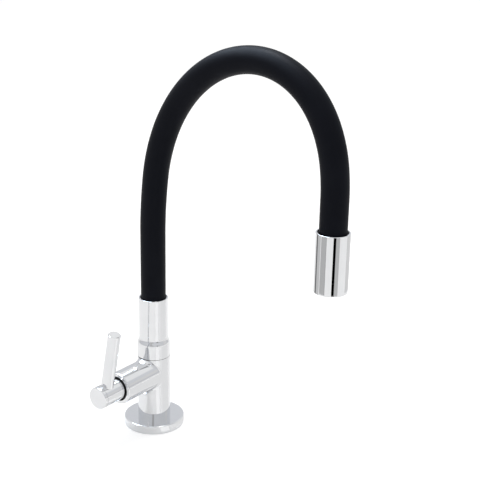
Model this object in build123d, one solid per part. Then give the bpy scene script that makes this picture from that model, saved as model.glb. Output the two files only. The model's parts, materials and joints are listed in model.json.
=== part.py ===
from build123d import *
import math
import os

# A flexible kitchen tap. The origin is the centre of the flange's underside, on the worktop. +Z is up, the
# spout reaches towards -Y, and the valve branch with its lever points towards -X. Millimetres and degrees.

# Clearances
THREAD_CLEAR = 0.05
RUN_CLEAR = 0.06
LOOSE_CLEAR = 0.1
SOFT_CLEAR = 0.3

# How far a cut runs past the face that it opens through
OVERCUT = 2.0

# Half the width of an O-ring's groove, in ring thicknesses
GROOVE_HALF = 0.7

# Base flange and what clamps it to the worktop
FLANGE_D = 60.0
FLANGE_T = 8.4
FLANGE_EDGE = 0.9
BASE_SEAL_D = 52.0
BASE_SEAL_W = 3.6
BASE_SEAL_H = 2.0
DECK_T = 30.0
DECK_GASKET_D = 42.0
DECK_GASKET_T = 3.0
DECK_WASHER_D = 40.0
DECK_WASHER_T = 1.5
NUT_FLATS = 30.0
NUT_H = 9.0
NUT_CHAMFER_H = 2.0

# Threaded shank, G1/2 outside
SHANK_D = 20.955
SHANK_BORE_D = 13.0
THREAD_PITCH = 1.814
THREAD_DEPTH = 1.1
THREAD_LAND = 0.45
THREAD_TOP_Z = -8.1
THREAD_RUN = 36.0
SHANK_IN_BODY = 12.5
SUPPLY_END_L = 15.0
SUPPLY_END_CHAMFER = 1.0

# Tap body
BODY_D = 32.5
BODY_TOP_Z = 74.0
INLET_BORE_D = 11.0
BRANCH_Z = 56.4
BRANCH_D = 31.6
BRANCH_L = 53.6
BRANCH_BLEND = 6.0
BRANCH_EDGE = 1.2

# Valve cavity in the branch, as distances from the tap's axis
SEAT_D = 8.4
SEAT_AT = 13.0
SEAT_SEAL_D = 16.0
SEAT_SEAL_T = 1.6
CHAMBER_D = 22.0
CHAMBER_START = 15.0
CHAMBER_END = 27.0
HEAD_DEPTH = 9.6
MOUTH_D = 24.8
OUTFLOW_D = 3.2
OUTFLOW_PITCH = 4.2
OUTFLOW_LIFT = 0.3

# Cartridge
CARTRIDGE_D = 16.8
CARTRIDGE_THREAD_D = 19.0
CARTRIDGE_CAVITY_D = 15.4
CARTRIDGE_CAVITY_END = 25.0
CARTRIDGE_FLANGE_D = 23.2
CARTRIDGE_FLANGE_T = 1.5
CARTRIDGE_HEX = 17.0
CARTRIDGE_HEX_H = 4.0
WINDOW_W = 6.0
WINDOW_L = 3.6
CARTRIDGE_RING_WIRE = 1.1
CARTRIDGE_RECESS_D = 21.8
DISC_T = 3.0
DISC_D = 15.2
DISC_HOLE_D = 3.8
DISC_HOLE_AT = 4.3
DISC_GAP = 0.05

# Spindle
SPINDLE_D = 8.0
SPINDLE_IN_HUB = 13.1
SPINDLE_FLATS = 6.4
SPINDLE_FLATS_L = 12.0
DRIVER_D = 11.0
SPINDLE_GROOVE_BACK = 5.8
SPINDLE_RING_WIRE = 0.95
CIRCLIP_T = 0.8
CIRCLIP_D = 12.0
CIRCLIP_GROOVE_D = 6.8

# Handle
HUB_D = 21.6
HUB_L = 26.1
HUB_SINK = 2.4
HUB_BORE_L = 13.3
HUB_RECESS_D = 10.0
HUB_WEB_T = 2.5
HUB_EDGE = 0.4
CAP_T = 3.4
CAP_SEAM = 0.2
CAP_PLUG_L = 4.5
CAP_EDGE = 0.7
SEAL_RING_D = 24.6
SEAL_RING_SINK = 1.6
SEAL_RING_W = 1.8
SEAL_RING_GAP = 0.15
LEVER_ALONG_HUB = 17.9
LEVER_D = 12.2
LEVER_TOP = 66.4
LEVER_LEAN = 10.8
LEVER_CHAMFER = 0.6
LEVER_STUD_D = 6.0
LEVER_STUD_FOOT = 6.2
SCREW_D = 4.0
SCREW_HEAD_D = 7.2
SCREW_HEAD_H = 3.0
SCREW_L = 11.0
SCREW_KEY = 2.5

# Swivel
SLIDE_WASHER_T = 0.4
SLIDE_WASHER_INSET = 0.55
POST_D = 20.0
POST_BORE_D = 12.0
POST_FOOT_Z = 66.8
POST_SOCKET_Z = 62.6
POST_TOP_Z = 97.6
POST_RING_Z = (80.5, 86.5)
POST_RING_WIRE = 1.5
RETAINER_T = 1.1
RETAINER_D = 25.2
RETAINER_GROOVE_D = 18.4
RETAINER_LIFT = 0.2
RETAINER_SLOT = 8.0

# Swivel collar
COLLAR_BAND_H = 14.5
COLLAR_SHOULDER_H = 4.2
COLLAR_SHOULDER_ROUND = 6.5
COLLAR_D = 28.8
COLLAR_TOP_Z = 135.5
COLLAR_WALL = 1.25
COLLAR_LEDGE_Z = 94.2
MOUTH_ROUND = 0.4

# Hose: sleeve, gooseneck and water tube, from the outside in
HOSE_D = 24.4
SLEEVE_WALL = 2.8
NECK_D = 18.0
NECK_BORE_D = 14.0
WATER_D = 10.0
WATER_BORE_D = 7.0

# Fittings at the hose's two ends
FITTING_Z = 100.0
FITTING_H = 12.0
FITTING_CUP_D = 21.2
FITTING_CUP_H = 6.0
NIPPLE_D = 6.8
NIPPLE_L = 12.0
NIPPLE_BORE_D = 4.8
FITTING_RING_WIRE = 1.4
CRIMP_D = 11.8
CRIMP_L = 9.0
CRIMP_START = 1.5
MOUTH_RING_H = 3.6
MOUTH_RING_SINK = 0.6

# Route of the hose: straight up, an arch of tangent arcs, and straight down into the outlet
RISER_END_Z = 198.0
JOINTS_IN_ARCH = 12
ARCH_TURN = 180.0
FIRST_RADIUS = 460.0
TIGHT_RADIUS = 76.3
TIGHT_AT = 7.57
RISER_OPENING = 93.7
RISER_POWER = 1.76
OUTLET_OPENING = 41.4
OUTLET_POWER = 2.8
LAST_RADIUS = 189.0
TAIL_L = 29.4
SWAY_Z = (150.0, 172.0, 194.0)

# Ball ends of the neck's sections
BALL_R = 9.2
BALL_GAP = 0.15
LIP_BACK = 4.5

# Outlet and aerator, as distances below the shell's top
SHELL_D = 30.0
SHELL_L = 53.3
SHELL_WALL = 1.35
SHELL_EDGE = 0.5
WEB_TOP = 28.0
WEB_T = 3.0
WEB_BORE_D = 16.0
THROAT_D = 20.0
AERATOR_ROOM = 14.0
AERATOR_D = 24.0
AERATOR_SEAL_T = 1.8
AERATOR_SEAL_BORE_D = 17.0
AERATOR_WALL = 1.5
AERATOR_SINK = 0.3
AERATOR_LIP_D = 19.0
AERATOR_LIP_T = 1.4
INSERT_HOLE_D = 2.2
MESH_T = 0.6
MESH_HOLE_D = 1.2
HOLE_RINGS = 3


def lathe(points, rounds=None):
    """A solid turned about Z from (radius, height) corners; rounds gives some corners a radius."""
    face = make_face(Polyline(*points, close=True))
    for corner, radius in (rounds or {}).items():
        here = Vector(*corner, 0)
        face = fillet(min(face.vertices(), key=lambda v: (Vector(*v) - here).length), radius)
    return revolve(Plane.XZ * face, Axis.Z, 360)


def ring(outer_d, inner_d, low, high):
    """A plain ring about Z between two heights."""
    outer, inner = outer_d / 2, inner_d / 2
    return lathe([(inner, low), (outer, low), (outer, high), (inner, high)])


def rod(diameter, low, high):
    return ring(diameter, 0, low, high)


def o_ring(middle_d, wire_d, height):
    """A round-section ring about Z."""
    return Pos(0, 0, height) * Torus(middle_d / 2, wire_d / 2)


def ring_groove(shaft_d, wire_d, height):
    """The groove for an O-ring in a shaft about Z."""
    half = GROOVE_HALF * wire_d
    return ring(shaft_d + OVERCUT, shaft_d - 2 * wire_d, height - half, height + half)


def grooved_o_ring(shaft_d, wire_d, height):
    """The O-ring that lies in such a groove."""
    return o_ring(shaft_d - wire_d, wire_d - THREAD_CLEAR, height)


def hexagon(flats, low, high):
    """A hexagonal prism about Z."""
    shape = RegularPolygon(flats / 2, 6, major_radius=False)
    return Pos(0, 0, low) * extrude(shape, high - low)


def hole_field(rings, pitch, diameter, low, high):
    """Rods about Z: one in the middle, then rings of 6, 12 and so on, a pitch apart."""
    rods = [rod(diameter, low, high)]
    for n in range(1, rings + 1):
        rods += [loc * rod(diameter, low, high) for loc in PolarLocations(n * pitch, 6 * n)]
    return rods


# Where things stand along the branch, as distances from the tap's axis
HEAD_STEP_AT = BRANCH_L - HEAD_DEPTH
SPINDLE_GROOVE_AT = HEAD_STEP_AT - SPINDLE_GROOVE_BACK
HUB_BACK = BRANCH_L - HUB_SINK
HUB_FRONT = HUB_BACK + HUB_L
HUB_BORE_END = HUB_BACK + HUB_BORE_L
SPINDLE_END = HUB_BACK + SPINDLE_IN_HUB
LEVER_AT = HUB_BACK + LEVER_ALONG_HUB
SEAL_RING_BACK = BRANCH_L - SEAL_RING_SINK
SEAL_RING_FRONT = SEAL_RING_BACK + SEAL_RING_W

# Places of the three turned assemblies: local Z is the axis that each is turned about
BRANCH = Plane(origin=(0, 0, BRANCH_Z), x_dir=(0, 1, 0), z_dir=(-1, 0, 0))
LEAN = math.radians(LEVER_LEAN)
LEVER = Plane(origin=(-LEVER_AT, 0, BRANCH_Z), x_dir=(1, 0, 0), z_dir=(0, -math.sin(LEAN), math.cos(LEAN)))
HOSE_PLANE = Plane(origin=(0, 0, 0), x_dir=(0, -1, 0), z_dir=(-1, 0, 0))


# Route of the hose

def arch_radius(n):
    """Radius of the arch's n-th full arc: tightest near the crown, opening towards both ends."""
    if n < TIGHT_AT:
        return TIGHT_RADIUS + RISER_OPENING * ((TIGHT_AT - n) / (TIGHT_AT - 1)) ** RISER_POWER
    last = JOINTS_IN_ARCH - 1
    return TIGHT_RADIUS + OUTLET_OPENING * ((n - TIGHT_AT) / (last - TIGHT_AT)) ** OUTLET_POWER


JOINT_TURN = ARCH_TURN / JOINTS_IN_ARCH
ARCH = [
    (FIRST_RADIUS, JOINT_TURN / 2),
    *[(arch_radius(n), JOINT_TURN) for n in range(1, JOINTS_IN_ARCH)],
    (LAST_RADIUS, JOINT_TURN / 2),
]


def walk():
    """The arch's arcs as edges in (reach, height), with the reach, height and heading where each one ends."""
    reach, height, heading = 0.0, RISER_END_Z, 90.0
    edges, stops = [], []
    for radius, turn in ARCH:
        way = (math.cos(math.radians(heading)), math.sin(math.radians(heading)))
        edges.append(JernArc((reach, height), way, radius, -turn))
        after = math.radians(heading - turn)
        before = math.radians(heading)
        reach += radius * (math.sin(before) - math.sin(after))
        height += radius * (math.cos(after) - math.cos(before))
        heading -= turn
        stops.append((reach, height, heading))
    return edges, stops


ARCS, STOPS = walk()
OUTLET_REACH = STOPS[-1][0]
OUTLET_TOP_Z = STOPS[-1][1] - TAIL_L
OUTLET = Plane(origin=(0, -OUTLET_REACH, OUTLET_TOP_Z), x_dir=(1, 0, 0), z_dir=(0, 0, -1))

# Where things stand along the two ends of the hose
FITTING_TOP_Z = FITTING_Z + FITTING_H
CUP_TOP_Z = FITTING_TOP_Z + FITTING_CUP_H
FITTING_TOP = WEB_TOP - FITTING_H
CUP_TOP = FITTING_TOP - FITTING_CUP_H


def straight(z_from, z_to, reach=0.0):
    return Line((reach, z_from), (reach, z_to))


def swept(edges, outer_d, inner_d):
    """A tube along edges that are given in (reach, height)."""
    path = HOSE_PLANE * Wire(edges)
    start = Plane(origin=path @ 0, z_dir=path % 0)
    outer = sweep(start * Circle(outer_d / 2), path)
    inner = sweep(start * Circle(inner_d / 2), path)
    return outer - inner


def section(edges, ball, lip):
    """One section of the gooseneck, with a ball end, a hollow end that takes the next ball, or both."""
    path = HOSE_PLANE * Wire(edges)
    body = swept(edges, NECK_D, NECK_BORE_D)
    if ball:
        start = Plane(origin=path @ 0, z_dir=path % 0)
        cap = Sphere(BALL_R) & rod(NECK_D, -BALL_R, 0)
        body += start * (cap - rod(NECK_BORE_D, -BALL_R, 0))
    if lip:
        end = Plane(origin=path @ 1, z_dir=path % 1)
        body -= end * (Sphere(BALL_R + BALL_GAP) + rod(NECK_D + OVERCUT, -LIP_BACK, OVERCUT))
    return body


# Base, shank and worktop clamp

def base_flange():
    hole = SHANK_D / 2 + SOFT_CLEAR
    outer = FLANGE_D / 2
    body = lathe(
        [(hole, 0), (outer, 0), (outer, FLANGE_T), (hole, FLANGE_T)],
        {(outer, FLANGE_T): FLANGE_EDGE},
    )
    return body - ring(BASE_SEAL_D, BASE_SEAL_D - 2 * BASE_SEAL_W, -OVERCUT, BASE_SEAL_H)


def base_seal():
    inset = 2 * LOOSE_CLEAR
    return ring(BASE_SEAL_D - inset, BASE_SEAL_D - 2 * BASE_SEAL_W + inset, 0, BASE_SEAL_H)


SHANK_TOP_Z = FLANGE_T + SHANK_IN_BODY
THREAD_END_Z = THREAD_TOP_Z - THREAD_RUN
GASKET_Z = -DECK_T
WASHER_Z = GASKET_Z - DECK_GASKET_T
NUT_Z = WASHER_Z - DECK_WASHER_T


def threaded_shank():
    """Rings of the thread's own pitch and depth; the free end is left plain at the thread's full size."""
    outer, root, bore = SHANK_D / 2, SHANK_D / 2 - THREAD_DEPTH, SHANK_BORE_D / 2
    slope = (THREAD_PITCH - THREAD_LAND) / 2
    foot = THREAD_END_Z - SUPPLY_END_L - SUPPLY_END_CHAMFER
    points = [(bore, foot), (outer - SUPPLY_END_CHAMFER, foot), (outer, foot + SUPPLY_END_CHAMFER)]
    for n in range(int(THREAD_RUN / THREAD_PITCH)):
        z = THREAD_END_Z + n * THREAD_PITCH
        points += [(outer, z), (root, z + slope), (outer, z + 2 * slope)]
    points += [(outer, SHANK_TOP_Z), (bore, SHANK_TOP_Z)]
    return lathe(points)


def deck_gasket():
    return ring(DECK_GASKET_D, SHANK_D + 2 * SOFT_CLEAR, WASHER_Z, GASKET_Z)


def deck_washer():
    return ring(DECK_WASHER_D, SHANK_D + 2 * SOFT_CLEAR, NUT_Z, WASHER_Z)


def fixing_nut():
    low = NUT_Z - NUT_H
    corner = NUT_FLATS / math.sqrt(3) + LOOSE_CLEAR
    turned = lathe(
        [(0, low), (NUT_FLATS / 2, low), (corner, low + NUT_CHAMFER_H), (corner, NUT_Z), (0, NUT_Z)]
    )
    blank = hexagon(NUT_FLATS, low, NUT_Z) & turned
    return blank - rod(SHANK_D + 2 * THREAD_CLEAR, low, NUT_Z)


# Tap body

def body_skin():
    """The outside of the body and its branch, with the blend between them, cut off level at the seam."""
    spare = 2 * BRANCH_BLEND
    upright = rod(BODY_D, FLANGE_T, BODY_TOP_Z + spare)
    edge_r = BRANCH_D / 2
    branch = BRANCH * lathe(
        [(0, 0), (edge_r, 0), (edge_r, BRANCH_L), (0, BRANCH_L)], {(edge_r, BRANCH_L): BRANCH_EDGE}
    )
    whole = upright + branch
    reach = BODY_D / 2 + OVERCUT
    seam = [
        e
        for e in whole.edges()
        if e.geom_type != GeomType.CIRCLE
        and e.geom_type != GeomType.LINE
        and abs(e.center().X) < reach
    ]
    whole = fillet(seam, BRANCH_BLEND)
    return whole - rod(3 * BODY_D, BODY_TOP_Z, BODY_TOP_Z + 2 * spare)


def tap_body():
    body = body_skin()
    body -= rod(SHANK_D + 2 * THREAD_CLEAR, FLANGE_T, SHANK_TOP_Z + OVERCUT)
    body -= rod(INLET_BORE_D, SHANK_TOP_Z, BRANCH_Z + OVERCUT)
    body -= rod(POST_D + 2 * THREAD_CLEAR, POST_SOCKET_Z, BODY_TOP_Z)
    body -= BRANCH * rod(SEAT_D, 0, SEAT_AT + OVERCUT)
    body -= BRANCH * rod(SEAT_SEAL_D + 2 * LOOSE_CLEAR, SEAT_AT, CHAMBER_START)
    body -= BRANCH * rod(CHAMBER_D, CHAMBER_START, CHAMBER_END)
    body -= BRANCH * rod(CARTRIDGE_THREAD_D + 2 * THREAD_CLEAR, CHAMBER_END, HEAD_STEP_AT)
    recess = HEAD_STEP_AT - CARTRIDGE_RING_WIRE - LOOSE_CLEAR
    body -= BRANCH * rod(CARTRIDGE_RECESS_D, recess, HEAD_STEP_AT)
    body -= BRANCH * rod(MOUTH_D, HEAD_STEP_AT, BRANCH_L)
    height = POST_SOCKET_Z + OUTFLOW_D / 2 + OUTFLOW_LIFT
    for n in (-1, 0, 1):
        way_out = Plane(origin=(0, n * OUTFLOW_PITCH, height), x_dir=(0, 1, 0), z_dir=(-1, 0, 0))
        body -= way_out * rod(OUTFLOW_D, POST_D / 4, CHAMBER_START + OVERCUT)
    return body


# Valve cartridge

def seat_seal():
    return BRANCH * ring(SEAT_SEAL_D, SEAT_D + 2 * LOOSE_CLEAR, SEAT_AT, SEAT_AT + SEAT_SEAL_T)


def disc(start, quarter):
    """A ceramic disc with two ports, the moving one a quarter turn off the fixed one at rest."""
    blank = rod(DISC_D - quarter * 2 * LOOSE_CLEAR, start, start + DISC_T)
    for loc in PolarLocations(DISC_HOLE_AT, 2, start_angle=90 * quarter):
        blank -= loc * rod(DISC_HOLE_D, start, start + DISC_T)
    return BRANCH * blank


FIXED_DISC_AT = SEAT_AT + SEAT_SEAL_T
MOVING_DISC_AT = FIXED_DISC_AT + DISC_T + DISC_GAP
DRIVER_AT = MOVING_DISC_AT + DISC_T
HEX_END = HEAD_STEP_AT + CARTRIDGE_FLANGE_T + CARTRIDGE_HEX_H
CIRCLIP_AT = HEX_END + SOFT_CLEAR
BEARING_D = SPINDLE_D + 2 * THREAD_CLEAR
HUB_RECESS_L = HUB_FRONT - HUB_BORE_END - HUB_WEB_T


def cartridge_body():
    start = CHAMBER_START + LOOSE_CLEAR
    body = rod(CARTRIDGE_D, start, CHAMBER_END + SOFT_CLEAR)
    body += rod(CARTRIDGE_THREAD_D, CHAMBER_END + SOFT_CLEAR, HEAD_STEP_AT)
    body += rod(CARTRIDGE_FLANGE_D, HEAD_STEP_AT, HEAD_STEP_AT + CARTRIDGE_FLANGE_T)
    body += hexagon(CARTRIDGE_HEX, HEAD_STEP_AT + CARTRIDGE_FLANGE_T, HEX_END)
    body -= rod(CARTRIDGE_CAVITY_D, start, CARTRIDGE_CAVITY_END)
    body -= rod(BEARING_D, CARTRIDGE_CAVITY_END, HEX_END)
    middle = (DRIVER_AT + CARTRIDGE_CAVITY_END) / 2
    body -= Pos(0, 0, middle) * Box(WINDOW_W, CARTRIDGE_D + OVERCUT, WINDOW_L)
    return BRANCH * body


def cartridge_o_ring():
    middle_d = CARTRIDGE_THREAD_D + 2 * THREAD_CLEAR + CARTRIDGE_RING_WIRE + LOOSE_CLEAR
    height = HEAD_STEP_AT - (CARTRIDGE_RING_WIRE + LOOSE_CLEAR) / 2
    return BRANCH * o_ring(middle_d, CARTRIDGE_RING_WIRE, height)


def flats(across, low, high):
    """The two half-round slices beyond a pair of flats."""
    slice_w = SPINDLE_D
    side = Pos(0, (across + slice_w) / 2, (low + high) / 2) * Box(3 * slice_w, slice_w, high - low)
    return side + mirror(side, Plane.XZ)


def spindle():
    body = rod(DRIVER_D, DRIVER_AT, CARTRIDGE_CAVITY_END - SOFT_CLEAR)
    body += rod(SPINDLE_D, DRIVER_AT, SPINDLE_END)
    body -= ring_groove(SPINDLE_D, SPINDLE_RING_WIRE, SPINDLE_GROOVE_AT)
    clip_low, clip_high = CIRCLIP_AT - THREAD_CLEAR, CIRCLIP_AT + CIRCLIP_T + THREAD_CLEAR
    body -= ring(SPINDLE_D + OVERCUT, CIRCLIP_GROOVE_D, clip_low, clip_high)
    body -= flats(SPINDLE_FLATS, SPINDLE_END - SPINDLE_FLATS_L, SPINDLE_END)
    body -= rod(SCREW_D + THREAD_CLEAR, HUB_FRONT - HUB_RECESS_L - SCREW_L - OVERCUT, SPINDLE_END)
    return BRANCH * body


def spindle_o_ring():
    return BRANCH * grooved_o_ring(SPINDLE_D, SPINDLE_RING_WIRE, SPINDLE_GROOVE_AT)


def circlip():
    body = ring(CIRCLIP_D, CIRCLIP_GROOVE_D + THREAD_CLEAR, CIRCLIP_AT, CIRCLIP_AT + CIRCLIP_T)
    slot = Pos(CIRCLIP_D / 2, 0, CIRCLIP_AT) * Box(CIRCLIP_D, CIRCLIP_GROOVE_D / 2, 4 * CIRCLIP_T)
    return BRANCH * (body - slot)


# Handle

def handle_hub():
    outer = HUB_D / 2
    body = lathe(
        [(0, HUB_BACK), (outer, HUB_BACK), (outer, HUB_FRONT), (0, HUB_FRONT)],
        {(outer, HUB_BACK): HUB_EDGE},
    )
    bore = rod(SPINDLE_D + 2 * THREAD_CLEAR, HUB_BACK, HUB_BORE_END)
    keyed_from = SPINDLE_END - SPINDLE_FLATS_L
    bore -= flats(SPINDLE_FLATS + 2 * THREAD_CLEAR, keyed_from, HUB_BORE_END)
    body -= bore
    body -= rod(SCREW_D + 2 * LOOSE_CLEAR, HUB_BORE_END, HUB_FRONT)
    body -= rod(HUB_RECESS_D, HUB_FRONT - HUB_RECESS_L, HUB_FRONT)
    return BRANCH * body - LEVER * rod(LEVER_STUD_D + 2 * THREAD_CLEAR, LEVER_STUD_FOOT - THREAD_CLEAR, HUB_D)


def hub_cap():
    outer, plug = HUB_D / 2, HUB_RECESS_D / 2 - THREAD_CLEAR
    back, front = HUB_FRONT + CAP_SEAM, HUB_FRONT + CAP_SEAM + CAP_T
    return BRANCH * lathe(
        [
            (0, HUB_FRONT - CAP_PLUG_L),
            (plug, HUB_FRONT - CAP_PLUG_L),
            (plug, back),
            (outer, back),
            (outer, front),
            (0, front),
        ],
        {(outer, front): CAP_EDGE},
    )


def lever_bar():
    outer = LEVER_D / 2
    low = HUB_D / 2 - outer / 2
    bar = lathe(
        [
            (0, low),
            (outer, low),
            (outer, LEVER_TOP - LEVER_CHAMFER),
            (outer - LEVER_CHAMFER, LEVER_TOP),
            (0, LEVER_TOP),
        ]
    )
    saddle = BRANCH * rod(HUB_D + 2 * THREAD_CLEAR, HUB_BACK, HUB_FRONT)
    stud = LEVER * rod(LEVER_STUD_D, LEVER_STUD_FOOT, HUB_D / 2 + OVERCUT)
    return (LEVER * bar - saddle) + stud


def handle_screw():
    seat = HUB_FRONT - HUB_RECESS_L
    body = rod(SCREW_HEAD_D, seat, seat + SCREW_HEAD_H) + rod(SCREW_D, seat - SCREW_L, seat)
    return BRANCH * (body - hexagon(SCREW_KEY, seat + SCREW_HEAD_H / 2, seat + SCREW_HEAD_H))


def hub_seal_ring():
    return BRANCH * ring(SEAL_RING_D, HUB_D + 2 * SEAL_RING_GAP, SEAL_RING_BACK, SEAL_RING_FRONT)


# Swivel

COLLAR_BOTTOM_Z = BODY_TOP_Z + SLIDE_WASHER_T
COLLAR_BORE_D = COLLAR_D - 2 * COLLAR_WALL
RETAINER_Z = COLLAR_LEDGE_Z + RETAINER_LIFT


def swivel_post():
    body = ring(POST_D, POST_BORE_D, POST_FOOT_Z, POST_TOP_Z)
    for z in POST_RING_Z:
        body -= ring_groove(POST_D, POST_RING_WIRE, z)
    low, high = RETAINER_Z - THREAD_CLEAR, RETAINER_Z + RETAINER_T + THREAD_CLEAR
    return body - ring(POST_D + OVERCUT, RETAINER_GROOVE_D, low, high)


def swivel_slide_washer():
    return ring(BODY_D - 2 * SLIDE_WASHER_INSET, POST_D + 2 * LOOSE_CLEAR, BODY_TOP_Z, COLLAR_BOTTOM_Z)


def swivel_retaining_ring():
    body = ring(RETAINER_D, RETAINER_GROOVE_D + THREAD_CLEAR, RETAINER_Z, RETAINER_Z + RETAINER_T)
    return body - Pos(0, RETAINER_D / 2, RETAINER_Z) * Box(RETAINER_SLOT, RETAINER_D, 4 * RETAINER_T)


def swivel_collar():
    """Band, a tapered shoulder with rounded ends, and the tube that the hose goes into."""
    band, tube, bore = BODY_D / 2, COLLAR_D / 2, COLLAR_BORE_D / 2
    post = POST_D / 2 + RUN_CLEAR
    taper_foot = (band, COLLAR_BOTTOM_Z + COLLAR_BAND_H)
    taper_head = (tube, COLLAR_BOTTOM_Z + COLLAR_BAND_H + COLLAR_SHOULDER_H)
    return lathe(
        [
            (post, COLLAR_BOTTOM_Z),
            (band, COLLAR_BOTTOM_Z),
            taper_foot,
            taper_head,
            (tube, COLLAR_TOP_Z),
            (bore, COLLAR_TOP_Z),
            (bore, COLLAR_LEDGE_Z),
            (post, COLLAR_LEDGE_Z),
        ],
        {
            taper_foot: COLLAR_SHOULDER_ROUND,
            taper_head: COLLAR_SHOULDER_ROUND,
            (tube, COLLAR_TOP_Z): MOUTH_ROUND,
        },
    )


# Hose and its end fittings

def hose_fitting(bore_d):
    """Turned fitting: plug, groove for its O-ring, cup for the gooseneck and nipple for the water tube."""
    plug, cup, cup_bore = bore_d / 2 - LOOSE_CLEAR, FITTING_CUP_D / 2, NECK_D / 2 + THREAD_CLEAR
    nipple, way = NIPPLE_D / 2, NIPPLE_BORE_D / 2
    body = lathe(
        [
            (way, 0),
            (plug, 0),
            (plug, FITTING_H),
            (cup, FITTING_H),
            (cup, FITTING_H + FITTING_CUP_H),
            (cup_bore, FITTING_H + FITTING_CUP_H),
            (cup_bore, FITTING_H),
            (nipple, FITTING_H),
            (nipple, FITTING_H + NIPPLE_L),
            (way, FITTING_H + NIPPLE_L),
        ]
    )
    return body - ring_groove(2 * plug, FITTING_RING_WIRE, FITTING_H / 2)


def fitting_o_ring(bore_d):
    return grooved_o_ring(bore_d - 2 * LOOSE_CLEAR, FITTING_RING_WIRE, FITTING_H / 2)


def crimp_ring():
    low = FITTING_H + CRIMP_START
    return ring(CRIMP_D, WATER_D + 2 * THREAD_CLEAR, low, low + CRIMP_L)


def mouth_ring(bore_d, top):
    """Black ring that closes the gap between the hose and the mouth that it goes into."""
    high = top - MOUTH_RING_SINK
    return ring(bore_d - 2 * THREAD_CLEAR, HOSE_D + 2 * THREAD_CLEAR, high - MOUTH_RING_H, high)


SHELL_BORE_D = SHELL_D - 2 * SHELL_WALL
LOWER = Plane(origin=(0, 0, FITTING_Z))
UPPER = OUTLET * Pos(0, 0, WEB_TOP) * Rot(180, 0, 0)


def along_hose(low_z, below_top, outer_d, inner_d):
    """A tube along the whole hose, from a height in the collar to a depth in the outlet shell."""
    edges = [straight(low_z, RISER_END_Z), *ARCS]
    edges.append(straight(STOPS[-1][1], OUTLET_TOP_Z - below_top, OUTLET_REACH))
    return swept(edges, outer_d, inner_d)


def hose_sleeve():
    return along_hose(CUP_TOP_Z, CUP_TOP, HOSE_D, HOSE_D - 2 * SLEEVE_WALL)


def water_tube():
    return along_hose(FITTING_TOP_Z, FITTING_TOP, WATER_D, WATER_BORE_D)


def neck_sections():
    """The gooseneck's sections from the collar to the outlet."""
    heights = [FITTING_TOP_Z, *SWAY_Z]
    sections = []
    for n in range(len(SWAY_Z)):
        sections.append(section([straight(heights[n], heights[n + 1])], n > 0, True))
    sections.append(section([straight(SWAY_Z[-1], RISER_END_Z), ARCS[0]], True, True))
    for arc in ARCS[1:-1]:
        sections.append(section([arc], True, True))
    tail = straight(STOPS[-1][1], OUTLET_TOP_Z - FITTING_TOP, OUTLET_REACH)
    sections.append(section([ARCS[-1], tail], True, False))
    return sections


# Outlet and aerator

AERATOR_SEAT = SHELL_L - AERATOR_ROOM
AERATOR_TOP = AERATOR_SEAT + AERATOR_SEAL_T
AERATOR_END = SHELL_L - AERATOR_SINK
INSERT_D = AERATOR_D - 2 * AERATOR_WALL - 2 * THREAD_CLEAR
MESH_AT = AERATOR_END - AERATOR_LIP_T - MESH_T
HOLE_PITCH = INSERT_D / (2 * HOLE_RINGS + 2)


def outlet_shell():
    outer, bore = SHELL_D / 2, SHELL_BORE_D / 2
    throat, seat = THROAT_D / 2, AERATOR_D / 2 + THREAD_CLEAR
    return OUTLET * lathe(
        [
            (outer, 0),
            (outer, SHELL_L),
            (seat, SHELL_L),
            (seat, AERATOR_SEAT),
            (throat, AERATOR_SEAT),
            (throat, WEB_TOP + WEB_T),
            (WEB_BORE_D / 2, WEB_TOP + WEB_T),
            (WEB_BORE_D / 2, WEB_TOP),
            (bore, WEB_TOP),
            (bore, 0),
        ],
        {(outer, 0): SHELL_EDGE, (outer, SHELL_L): SHELL_EDGE},
    )


def aerator_seal():
    return OUTLET * ring(AERATOR_D - 2 * LOOSE_CLEAR, AERATOR_SEAL_BORE_D, AERATOR_SEAT, AERATOR_TOP)


def aerator_housing():
    body = ring(AERATOR_D, AERATOR_D - 2 * AERATOR_WALL, AERATOR_TOP, AERATOR_END)
    lip = ring(AERATOR_D, AERATOR_LIP_D, AERATOR_END - AERATOR_LIP_T, AERATOR_END)
    return OUTLET * (body + lip)


def perforated(hole_d, top, end):
    blank = rod(INSERT_D, top, end)
    return OUTLET * (blank - hole_field(HOLE_RINGS, HOLE_PITCH, hole_d, top, end))


def aerator_insert():
    return perforated(INSERT_HOLE_D, AERATOR_TOP + LOOSE_CLEAR, MESH_AT)


def aerator_mesh():
    return perforated(MESH_HOLE_D, MESH_AT, MESH_AT + MESH_T)


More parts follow.
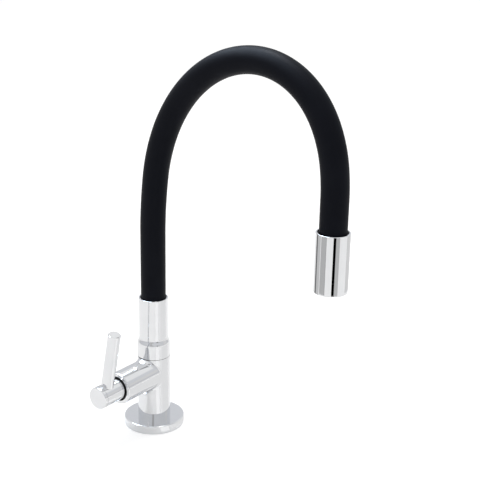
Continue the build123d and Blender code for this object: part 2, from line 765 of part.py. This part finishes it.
PIECES = {
    "base_flange": base_flange(),
    "base_seal": base_seal(),
    "threaded_shank": threaded_shank(),
    "deck_gasket": deck_gasket(),
    "deck_washer": deck_washer(),
    "fixing_nut": fixing_nut(),
    "tap_body": tap_body(),
    "seat_seal": seat_seal(),
    "fixed_disc": disc(FIXED_DISC_AT, 0),
    "moving_disc": disc(MOVING_DISC_AT, 1),
    "cartridge_body": cartridge_body(),
    "cartridge_o_ring": cartridge_o_ring(),
    "spindle": spindle(),
    "spindle_o_ring": spindle_o_ring(),
    "circlip": circlip(),
    "handle_hub": handle_hub(),
    "hub_cap": hub_cap(),
    "lever_bar": lever_bar(),
    "handle_screw": handle_screw(),
    "hub_seal_ring": hub_seal_ring(),
    "swivel_post": swivel_post(),
    "swivel_o_ring_lower": grooved_o_ring(POST_D, POST_RING_WIRE, POST_RING_Z[0]),
    "swivel_o_ring_upper": grooved_o_ring(POST_D, POST_RING_WIRE, POST_RING_Z[1]),
    "swivel_slide_washer": swivel_slide_washer(),
    "swivel_retaining_ring": swivel_retaining_ring(),
    "swivel_collar": swivel_collar(),
    "hose_fitting_lower": LOWER * hose_fitting(COLLAR_BORE_D),
    "fitting_o_ring_lower": LOWER * fitting_o_ring(COLLAR_BORE_D),
    "crimp_ring_lower": LOWER * crimp_ring(),
    "collar_mouth_ring": mouth_ring(COLLAR_BORE_D, COLLAR_TOP_Z),
    "hose_sleeve": hose_sleeve(),
    "water_tube": water_tube(),
    "outlet_shell": outlet_shell(),
    "hose_fitting_upper": UPPER * hose_fitting(SHELL_BORE_D),
    "fitting_o_ring_upper": UPPER * fitting_o_ring(SHELL_BORE_D),
    "crimp_ring_upper": UPPER * crimp_ring(),
    "shell_mouth_ring": OUTLET * Rot(180, 0, 0) * mouth_ring(SHELL_BORE_D, 0),
    "aerator_seal": aerator_seal(),
    "aerator_housing": aerator_housing(),
    "aerator_insert": aerator_insert(),
    "aerator_mesh": aerator_mesh(),
}
PIECES.update({f"neck_section_{n:02d}": piece for n, piece in enumerate(neck_sections())})

os.makedirs("parts", exist_ok=True)
for name, piece in PIECES.items():
    export_step(piece, f"parts/{name}.step")

print("joints along the arch, as reach, height and heading")
for reach, height, heading in STOPS:
    print(f"  {reach:.3f} {height:.3f} {heading:.2f}")
print(f"outlet top at reach {OUTLET_REACH:.3f}, height {OUTLET_TOP_Z:.3f}")
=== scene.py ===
import json
import math

import bpy
from mathutils import Matrix, Vector

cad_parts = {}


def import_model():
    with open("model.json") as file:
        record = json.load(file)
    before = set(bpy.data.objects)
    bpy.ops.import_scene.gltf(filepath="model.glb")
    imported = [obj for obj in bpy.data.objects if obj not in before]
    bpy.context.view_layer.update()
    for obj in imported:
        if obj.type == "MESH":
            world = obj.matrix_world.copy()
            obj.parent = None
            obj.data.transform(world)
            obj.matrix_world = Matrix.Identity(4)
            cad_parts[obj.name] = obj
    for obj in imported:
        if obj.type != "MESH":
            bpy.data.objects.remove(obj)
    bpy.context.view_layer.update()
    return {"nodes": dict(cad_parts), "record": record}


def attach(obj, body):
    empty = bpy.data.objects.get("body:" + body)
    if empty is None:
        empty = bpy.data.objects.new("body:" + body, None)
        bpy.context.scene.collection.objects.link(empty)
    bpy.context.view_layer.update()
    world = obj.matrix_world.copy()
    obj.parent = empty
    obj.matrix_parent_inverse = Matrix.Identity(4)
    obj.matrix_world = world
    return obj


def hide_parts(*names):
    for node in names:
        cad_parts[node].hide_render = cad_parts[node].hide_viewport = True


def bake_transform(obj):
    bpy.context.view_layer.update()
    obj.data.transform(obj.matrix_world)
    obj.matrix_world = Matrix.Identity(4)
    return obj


# Looks of the flexible kitchen tap. Metres throughout; the CAD frame gives every place.

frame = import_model()
scene = bpy.context.scene
nodes = frame["nodes"]

MM = 0.001

# Route of the hose, as in the part's source: riser, arch of tangent arcs, and straight down into the outlet
RISER_END_Z = 198.0 * MM
JOINTS_IN_ARCH = 12
FIRST_RADIUS = 460.0 * MM
TIGHT_RADIUS = 76.3 * MM
TIGHT_AT = 7.57
RISER_OPENING = 93.7 * MM
RISER_POWER = 1.76
OUTLET_OPENING = 41.4 * MM
OUTLET_POWER = 2.8
LAST_RADIUS = 189.0 * MM
TAIL_L = 29.4 * MM
SWAY_Z = (150.0 * MM, 172.0 * MM, 194.0 * MM)

# Sleeve and water tube: where each starts in the collar, how far it sinks into the outlet, its section, and the
# number of points around it
SLEEVE = {
    "node": "hose_sleeve", "start": 118.0 * MM, "sink": 10.0 * MM, "r": 12.2 * MM, "wall": 2.8 * MM, "around": 96
}
TUBE = {
    "node": "water_tube", "start": 112.0 * MM, "sink": 16.0 * MM, "r": 5.0 * MM, "wall": 1.5 * MM, "around": 40
}
FIRST_CUT_Z = 134.0 * MM
LENGTH_STEP = 2.0 * MM
SHARP_ANGLE = math.radians(40)


def arch_radius(n):
    """Radius of the arch's nth arc: tightest at TIGHT_AT, and opening towards both ends."""
    if n < TIGHT_AT:
        return TIGHT_RADIUS + RISER_OPENING * ((TIGHT_AT - n) / (TIGHT_AT - 1)) ** RISER_POWER
    last = JOINTS_IN_ARCH - 1
    return TIGHT_RADIUS + OUTLET_OPENING * ((n - TIGHT_AT) / (last - TIGHT_AT)) ** OUTLET_POWER


TURN = math.pi / JOINTS_IN_ARCH
ARCS = [(FIRST_RADIUS, TURN / 2)]
ARCS += [(arch_radius(n), TURN) for n in range(1, JOINTS_IN_ARCH)]
ARCS += [(LAST_RADIUS, TURN / 2)]
ARC_ENDS = [RISER_END_Z]
for radius, turn in ARCS:
    ARC_ENDS.append(ARC_ENDS[-1] + radius * turn)


def place(s):
    """Point and heading of the hose's middle line, s metres along it, counted from the worktop."""
    if s <= RISER_END_Z:
        return Vector((0, 0, s)), math.pi / 2
    reach, height, heading = 0.0, RISER_END_Z, math.pi / 2
    left = s - RISER_END_Z
    for radius, turn in ARCS:
        part = min(turn, left / radius)
        reach += radius * (math.sin(heading) - math.sin(heading - part))
        height += radius * (math.cos(heading - part) - math.cos(heading))
        heading -= part
        left -= radius * part
        if part < turn:
            break
    point = Vector((0, -reach, height))
    return point + max(left, 0.0) * Vector((0, -math.cos(heading), math.sin(heading))), heading


# Joints along the hose, the bodies on their two sides, and the cuts between the pieces
JOINT_AT = [*SWAY_Z, *ARC_ENDS[1:-1]]
BODIES = ["swivel", *(f"neck_{n:02d}" for n in range(1, len(JOINT_AT))), "outlet"]
CUTS = [FIRST_CUT_Z]
CUTS += [(a + b) / 2 for a, b in zip(JOINT_AT, JOINT_AT[1:])]
CUTS.append(2 * JOINT_AT[-1] - CUTS[-1])


def tube_mesh(name, low, high, radius, wall, around):
    """A closed tube with a wall along the hose's route, in short steps."""
    steps = max(2, round((high - low) / LENGTH_STEP))
    verts, faces = [], []
    for i in range(steps + 1):
        at, heading = place(low + (high - low) * i / steps)
        side = Vector((0, math.sin(heading), math.cos(heading)))
        for r in (radius, radius - wall):
            for k in range(around):
                a = 2 * math.pi * k / around
                verts.append(at + r * (math.cos(a) * Vector((1, 0, 0)) + math.sin(a) * side))
    ring = 2 * around
    for k in range(around):
        n = (k + 1) % around
        for i in range(steps):
            a, b = i * ring, (i + 1) * ring
            faces.append((a + k, a + n, b + n, b + k))
            faces.append((a + around + n, a + around + k, b + around + k, b + around + n))
        top = steps * ring
        faces.append((n, k, around + k, around + n))
        faces.append((top + k, top + n, top + around + n, top + around + k))
    mesh = bpy.data.meshes.new(name)
    mesh.from_pydata(verts, [], faces)
    mesh.validate()
    mesh.shade_smooth()
    mesh.set_sharp_from_angle(angle=SHARP_ANGLE)
    obj = bpy.data.objects.new(name, mesh)
    scene.collection.objects.link(obj)
    return obj


def hose_layer(layer, prefix, slot):
    """The layer as one rigid piece at each end and one piece across each joint between them."""
    end = ARC_ENDS[-1] + TAIL_L + layer["sink"]
    spans = [(layer["start"], CUTS[0]), *zip(CUTS, CUTS[1:]), (CUTS[-1], end)]
    for n, (low, high) in enumerate(spans):
        piece = tube_mesh(f"{prefix}_{n:02d}", low, high, layer["r"], layer["wall"], layer["around"])
        if 0 < n < len(spans) - 1:
            joint = JOINT_AT[n - 1]
            middle, heading = place(joint)
            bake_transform(piece)
        else:
            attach(piece, BODIES[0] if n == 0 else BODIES[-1])
        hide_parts(layer["node"])
        piece.data.materials.append(MATERIALS[slot])


# Materials

PATCH_DETAIL = 3.0
GRAIN_DETAIL = 4.0
NOISE_MIDDLE = (0.3, 0.7)  # the range that most of a noise's values lie in


def noise(tree, coords, scale, detail, stretch=None):
    """A noise texture in the object's metres, stretched along an axis when asked."""
    source = coords
    if stretch:
        mapping = tree.nodes.new("ShaderNodeMapping")
        mapping.inputs["Scale"].default_value = stretch
        tree.links.new(coords, mapping.inputs["Vector"])
        source = mapping.outputs["Vector"]
    node = tree.nodes.new("ShaderNodeTexNoise")
    node.inputs["Scale"].default_value = scale
    node.inputs["Detail"].default_value = detail
    tree.links.new(source, node.inputs["Vector"])
    return node.outputs["Fac"]


def spread(tree, value, low, high, start, end):
    """Maps the range from start to end to low and high."""
    node = tree.nodes.new("ShaderNodeMapRange")
    node.inputs["From Min"].default_value = start
    node.inputs["From Max"].default_value = end
    node.inputs["To Min"].default_value = low
    node.inputs["To Max"].default_value = high
    tree.links.new(value, node.inputs["Value"])
    return node.outputs["Result"]


def surface(name, light, dark, metallic, rough, patch, grain, depth, stretch=None, **extra):
    """Colour and roughness that vary in soft patches, and a fine grain as bump.

    rough is the roughness of the light and of the dark patches, patch and grain are the noises' scales per metre, and
    depth is the grain's in metres.
    """
    material = bpy.data.materials.new(name)
    material.use_nodes = True
    tree = material.node_tree
    shader = tree.nodes["Principled BSDF"]
    coords = tree.nodes.new("ShaderNodeTexCoord").outputs["Object"]
    patches = noise(tree, coords, patch, PATCH_DETAIL)
    mix = tree.nodes.new("ShaderNodeMix")
    mix.data_type = "RGBA"
    mix.inputs["A"].default_value = (*dark, 1)
    mix.inputs["B"].default_value = (*light, 1)
    tree.links.new(spread(tree, patches, 0, 1, *NOISE_MIDDLE), mix.inputs["Factor"])
    tree.links.new(mix.outputs["Result"], shader.inputs["Base Color"])
    tree.links.new(spread(tree, patches, rough[1], rough[0], *NOISE_MIDDLE), shader.inputs["Roughness"])
    bump = tree.nodes.new("ShaderNodeBump")
    bump.inputs["Distance"].default_value = depth
    bump.inputs["Strength"].default_value = 1.0
    tree.links.new(noise(tree, coords, grain, GRAIN_DETAIL, stretch), bump.inputs["Height"])
    tree.links.new(bump.outputs["Normal"], shader.inputs["Normal"])
    shader.inputs["Metallic"].default_value = metallic
    for socket, value in extra.items():
        shader.inputs[socket.replace("_", " ")].default_value = value
    return material


MATERIALS = {
    "chromed_brass": surface(
        "chromed_brass", (0.80, 0.805, 0.815), (0.77, 0.777, 0.79), 1.0, (0.025, 0.05), 60, 900, 1e-7
    ),
    "bare_brass": surface(
        "bare_brass", (0.80, 0.65, 0.36), (0.70, 0.55, 0.29), 1.0, (0.22, 0.34), 120, 1500, 4e-6
    ),
    "stainless_steel": surface(
        "stainless_steel", (0.66, 0.66, 0.67), (0.56, 0.56, 0.575), 1.0, (0.24, 0.36), 150, 1800, 4e-6,
        stretch=(1, 1, 0.12),
    ),
    "black_rubber": surface(
        "black_rubber", (0.004, 0.004, 0.0045), (0.002, 0.002, 0.0024), 0.0, (0.5, 0.66), 180, 2200, 1.2e-5,
        Specular_IOR_Level=0.08,
    ),
    "sleeve_silicone": surface(
        "sleeve_silicone", (0.005, 0.0057, 0.009), (0.0038, 0.0044, 0.0073), 0.0, (0.44, 0.5), 45, 2600, 5e-6,
        Specular_IOR_Level=0.06,
    ),
    "water_tube_plastic": surface(
        "water_tube_plastic", (0.84, 0.84, 0.82), (0.78, 0.78, 0.755), 0.0, (0.32, 0.42), 90, 900, 4e-6
    ),
    "ceramic": surface(
        "ceramic", (0.94, 0.94, 0.92), (0.9, 0.9, 0.875), 0.0, (0.1, 0.2), 200, 1400, 2e-6
    ),
    "black_plastic": surface(
        "black_plastic", (0.012, 0.012, 0.0125), (0.008, 0.008, 0.0085), 0.0, (0.4, 0.52), 160, 1400, 5e-6
    ),
    "white_plastic": surface(
        "white_plastic", (0.87, 0.87, 0.86), (0.82, 0.82, 0.8), 0.0, (0.34, 0.46), 140, 1200, 5e-6
    ),
}
for entry in frame["record"]["subparts"]:
    mesh = nodes[entry["node"]].data
    mesh.materials.clear()
    mesh.materials.append(MATERIALS[entry["material_slot"]])

hose_layer(SLEEVE, "sleeve", "sleeve_silicone")
hose_layer(TUBE, "tube", "water_tube_plastic")

# Floor, world and lamps

FLOOR_SIZE = 16.0
FLOOR_COLOUR = (0.8, 0.8, 0.8, 1)
FLOOR_LIFT = 0.36
FLOOR_IN_METAL = 0.35


def seen_directly(tree, glossy_share=1.0):
    """Two sockets: 1 for the camera's and transmitted rays and glossy_share for glossy ones, and Is Glossy Ray."""
    path = tree.nodes.new("ShaderNodeLightPath")
    camera_or_gloss = tree.nodes.new("ShaderNodeMath")
    camera_or_gloss.operation = "MULTIPLY_ADD"
    camera_or_gloss.inputs[1].default_value = glossy_share
    tree.links.new(path.outputs["Is Glossy Ray"], camera_or_gloss.inputs[0])
    tree.links.new(path.outputs["Is Camera Ray"], camera_or_gloss.inputs[2])
    total = tree.nodes.new("ShaderNodeMath")
    total.operation = "ADD"
    total.use_clamp = True
    tree.links.new(camera_or_gloss.outputs[0], total.inputs[0])
    tree.links.new(path.outputs["Is Transmission Ray"], total.inputs[1])
    return total.outputs[0], path.outputs["Is Glossy Ray"]


def floor():
    """A pale floor that keeps the shadow, and looks white to the camera by its own faint glow."""
    mesh = bpy.data.meshes.new("floor")
    half = FLOOR_SIZE / 2
    mesh.from_pydata([(-half, -half, 0), (half, -half, 0), (half, half, 0), (-half, half, 0)], [], [(0, 1, 2, 3)])
    obj = bpy.data.objects.new("floor", mesh)
    scene.collection.objects.link(obj)
    material = bpy.data.materials.new("floor")
    material.use_nodes = True
    tree = material.node_tree
    tree.nodes.clear()
    diffuse = tree.nodes.new("ShaderNodeBsdfDiffuse")
    diffuse.inputs["Color"].default_value = FLOOR_COLOUR
    glow = tree.nodes.new("ShaderNodeEmission")
    strength = tree.nodes.new("ShaderNodeMath")
    strength.operation = "MULTIPLY"
    strength.inputs[1].default_value = FLOOR_LIFT
    tree.links.new(seen_directly(tree, FLOOR_IN_METAL)[0], strength.inputs[0])
    tree.links.new(strength.outputs[0], glow.inputs["Strength"])
    both = tree.nodes.new("ShaderNodeAddShader")
    tree.links.new(diffuse.outputs[0], both.inputs[0])
    tree.links.new(glow.outputs[0], both.inputs[1])
    out = tree.nodes.new("ShaderNodeOutputMaterial")
    tree.links.new(both.outputs[0], out.inputs["Surface"])
    mesh.materials.append(material)


# The studio as polished metal sees it, by the height of the direction: on the camera's side, where NEAR_SIDE points,
# and beyond the tap. The two mix where the direction's share towards NEAR_SIDE is within SIDE_MIX of 0.
SKY_LIGHT = 0.82
HORIZON = (0.82, 0.83, 0.84)
WHITE = (1.0, 1.0, 1.0)
NEAR_SKY = [
    (0.0, HORIZON),
    (0.03, (0.68, 0.69, 0.71)),
    (0.14, (0.66, 0.67, 0.70)),
    (0.5, (0.74, 0.75, 0.77)),
    (0.7, (0.92, 0.93, 0.94)),
    (1.0, WHITE),
]
FAR_SKY = [
    (0.0, HORIZON),
    (0.03, (0.62, 0.63, 0.65)),
    (0.14, (0.66, 0.67, 0.70)),
    (0.3, (0.72, 0.735, 0.77)),
    (0.5, (0.72, 0.735, 0.77)),
    (0.55, (0.95, 0.955, 0.96)),
    (0.72, (0.95, 0.955, 0.96)),
    (0.84, (0.3, 0.31, 0.33)),
    (0.87, (0.3, 0.31, 0.33)),
    (0.89, WHITE),
    (1.0, WHITE),
]
NEAR_SIDE = math.radians(-138.0)
SIDE_MIX = 0.3


def ramp(tree, value, stops):
    """A colour ramp over stops of (position, colour)."""
    node = tree.nodes.new("ShaderNodeValToRGB")
    elements = node.color_ramp.elements
    elements.remove(elements[-1])
    elements[0].position, elements[0].color = stops[0][0], (*stops[0][1], 1)
    for position, colour in stops[1:]:
        elements.new(position).color = (*colour, 1)
    tree.links.new(value, node.inputs["Fac"])
    return node.outputs["Color"]


def mixed(tree, factor, a, b):
    """A colour mix; a and b are sockets or plain colours."""
    node = tree.nodes.new("ShaderNodeMix")
    node.data_type = "RGBA"
    for key, value in (("Factor", factor), ("A", a), ("B", b)):
        if isinstance(value, bpy.types.NodeSocket):
            tree.links.new(value, node.inputs[key])
        else:
            node.inputs[key].default_value = value
    return node.outputs["Result"]


def world():
    """Plain white light on the object, and the graded studio for what polished metal shows."""
    made = bpy.data.worlds.new("studio")
    scene.world = made
    made.use_nodes = True
    tree = made.node_tree
    tree.nodes.clear()
    direct, glossy = seen_directly(tree)
    direction = tree.nodes.new("ShaderNodeTexCoord").outputs["Generated"]
    split = tree.nodes.new("ShaderNodeSeparateXYZ")
    tree.links.new(direction, split.inputs[0])
    nearness = tree.nodes.new("ShaderNodeVectorMath")
    nearness.operation = "DOT_PRODUCT"
    nearness.inputs[1].default_value = (math.cos(NEAR_SIDE), math.sin(NEAR_SIDE), 0)
    tree.links.new(direction, nearness.inputs[0])
    side = spread(tree, nearness.outputs["Value"], 0, 1, -SIDE_MIX, SIDE_MIX)
    studio = mixed(tree, side, ramp(tree, split.outputs["Z"], FAR_SKY), ramp(tree, split.outputs["Z"], NEAR_SKY))
    strength = tree.nodes.new("ShaderNodeMapRange")
    strength.inputs["To Min"].default_value = SKY_LIGHT
    strength.inputs["To Max"].default_value = 1.0
    tree.links.new(direct, strength.inputs["Value"])
    background = tree.nodes.new("ShaderNodeBackground")
    tree.links.new(mixed(tree, glossy, (*WHITE, 1), studio), background.inputs["Color"])
    tree.links.new(strength.outputs["Result"], background.inputs["Strength"])
    out = tree.nodes.new("ShaderNodeOutputWorld")
    tree.links.new(background.outputs[0], out.inputs["Surface"])


# Screens that only polished metal sees, standing on arcs round the outlet and lying on the floor round the body:
# from and to in degrees from the camera's side towards its right, two edges as radius and height, grey
OUTLET_MIDDLE = Vector((0, -0.201, 0))
OUTLET_AZIMUTH = -149.0
OUTLET_SCREENS = [
    (-121, -104, (0.1, 0.15), (0.1, 0.225), 0.2),
    (-104, -78, (0.1, 0.15), (0.1, 0.225), 0.62),
    (-77, -41, (0.22, 0.112), (0.22, 0.182), 0.52),
    (-41, -38, (0.22, 0.112), (0.22, 0.182), 0.38),
    (5, 22, (0.22, 0.112), (0.22, 0.182), 0.0),
    (22, 46, (0.22, 0.112), (0.22, 0.182), 0.55),
    (103, 160, (0.22, 0.112), (0.22, 0.182), 0.75),
]
BODY_MIDDLE = Vector((0, 0, 0))
BODY_AZIMUTH = -138.7
STRIP_START, STRIP_END = (0.032, 0.0015), (0.42, 0.0015)
BODY_SCREENS = [
    (14, 34, STRIP_START, STRIP_END, 1.1),
    (44, 56, STRIP_START, STRIP_END, 0.95),
    (56, 110, STRIP_START, STRIP_END, 0.9),
]
SCREEN_STEP = 2.0  # degrees

# Name, place, aim, size, power, whether metal shows it, colour, and whether it lights matt surfaces
LAMPS = [
    ("softbox_above", (0.3, 0.15, 1.5), (0, -0.1, 0.3), (0.45, 0.45), 7, True, WHITE, True),
    ("softbox_sheen", (-0.1, 0.45, 1.3), (0, -0.1, 0.38), (1.3, 1.0), 32, True, (0.72, 0.85, 1.0), False),
    ("softbox_left", (-1.5, 0.2, 0.9), (0, -0.1, 0.2), (0.9, 1.3), 2, False, WHITE, True),
    ("softbox_right", (0.5, -1.5, 0.8), (0, -0.1, 0.2), (0.9, 1.2), 2, False, WHITE, True),
]


def screen(name, middle, azimuth, start, end, first, second, grey):
    """A strip of even grey between two arcs round the middle."""
    steps = max(1, round((end - start) / SCREEN_STEP))
    verts, faces = [], []
    for i in range(steps + 1):
        a = math.radians(azimuth + start + (end - start) * i / steps)
        for radius, z in (first, second):
            verts.append(middle + Vector((radius * math.cos(a), radius * math.sin(a), z)))
        if i:
            faces.append((2 * i - 2, 2 * i, 2 * i + 1, 2 * i - 1))
    mesh = bpy.data.meshes.new(name)
    mesh.from_pydata(verts, [], faces)
    obj = bpy.data.objects.new(name, mesh)
    scene.collection.objects.link(obj)
    material = bpy.data.materials.new(name)
    material.use_nodes = True
    tree = material.node_tree
    tree.nodes.clear()
    glow = tree.nodes.new("ShaderNodeEmission")
    glow.inputs["Color"].default_value = (grey, grey, grey, 1)
    out = tree.nodes.new("ShaderNodeOutputMaterial")
    tree.links.new(glow.outputs[0], out.inputs["Surface"])
    mesh.materials.append(material)
    obj.visible_camera = False
    obj.visible_diffuse = False
    obj.visible_shadow = False


def lamp(name, at, aim, size, power, in_metal, colour, on_matt):
    data = bpy.data.lights.new(name, "AREA")
    data.color = colour
    data.shape = "RECTANGLE"
    data.size, data.size_y = size
    data.energy = power
    obj = bpy.data.objects.new(name, data)
    obj.location = at
    obj.rotation_euler = (Vector(aim) - Vector(at)).to_track_quat("-Z", "Y").to_euler()
    obj.visible_glossy = in_metal
    obj.visible_diffuse = on_matt
    obj.visible_camera = False
    scene.collection.objects.link(obj)


floor()
world()
for n, values in enumerate(OUTLET_SCREENS):
    screen(f"outlet_screen_{n}", OUTLET_MIDDLE, OUTLET_AZIMUTH, *values)
for n, values in enumerate(BODY_SCREENS):
    screen(f"body_screen_{n}", BODY_MIDDLE, BODY_AZIMUTH, *values)
for values in LAMPS:
    lamp(*values)

# Camera, fitted to the photograph

VIEW_TARGET = Vector((0, 0, 0.06))
VIEW_DISTANCE = 1.04508
VIEW_AZIMUTH = math.radians(-48.65)
VIEW_ELEVATION = math.radians(25.11)
VIEW_YAW = math.radians(5.09)
VIEW_PITCH = math.radians(-18.08)
VIEW_ROLL = math.radians(1.13)
SENSOR = 36.0
FOCAL_PIXELS = 1028.42
PICTURE_PIXELS = 480


def camera():
    ground = math.cos(VIEW_ELEVATION)
    at = VIEW_TARGET + VIEW_DISTANCE * Vector(
        (math.sin(VIEW_AZIMUTH) * ground, -math.cos(VIEW_AZIMUTH) * ground, math.sin(VIEW_ELEVATION))
    )
    way = VIEW_AZIMUTH - VIEW_YAW
    level = Vector((-math.sin(way), math.cos(way), 0))
    ahead = math.cos(VIEW_PITCH) * level + math.sin(VIEW_PITCH) * Vector((0, 0, 1))
    right = Vector((level.y, -level.x, 0))
    up = right.cross(ahead)
    rolled_right = math.cos(VIEW_ROLL) * right + math.sin(VIEW_ROLL) * up
    rolled_up = -math.sin(VIEW_ROLL) * right + math.cos(VIEW_ROLL) * up
    data = bpy.data.cameras.new("camera")
    data.sensor_width = SENSOR
    data.lens = FOCAL_PIXELS / PICTURE_PIXELS * SENSOR
    obj = bpy.data.objects.new("camera", data)
    turned = Matrix((rolled_right, rolled_up, -ahead)).transposed().to_4x4()
    obj.matrix_world = Matrix.Translation(at) @ turned
    scene.collection.objects.link(obj)
    scene.camera = obj


camera()
scene.view_settings.view_transform = "Standard"
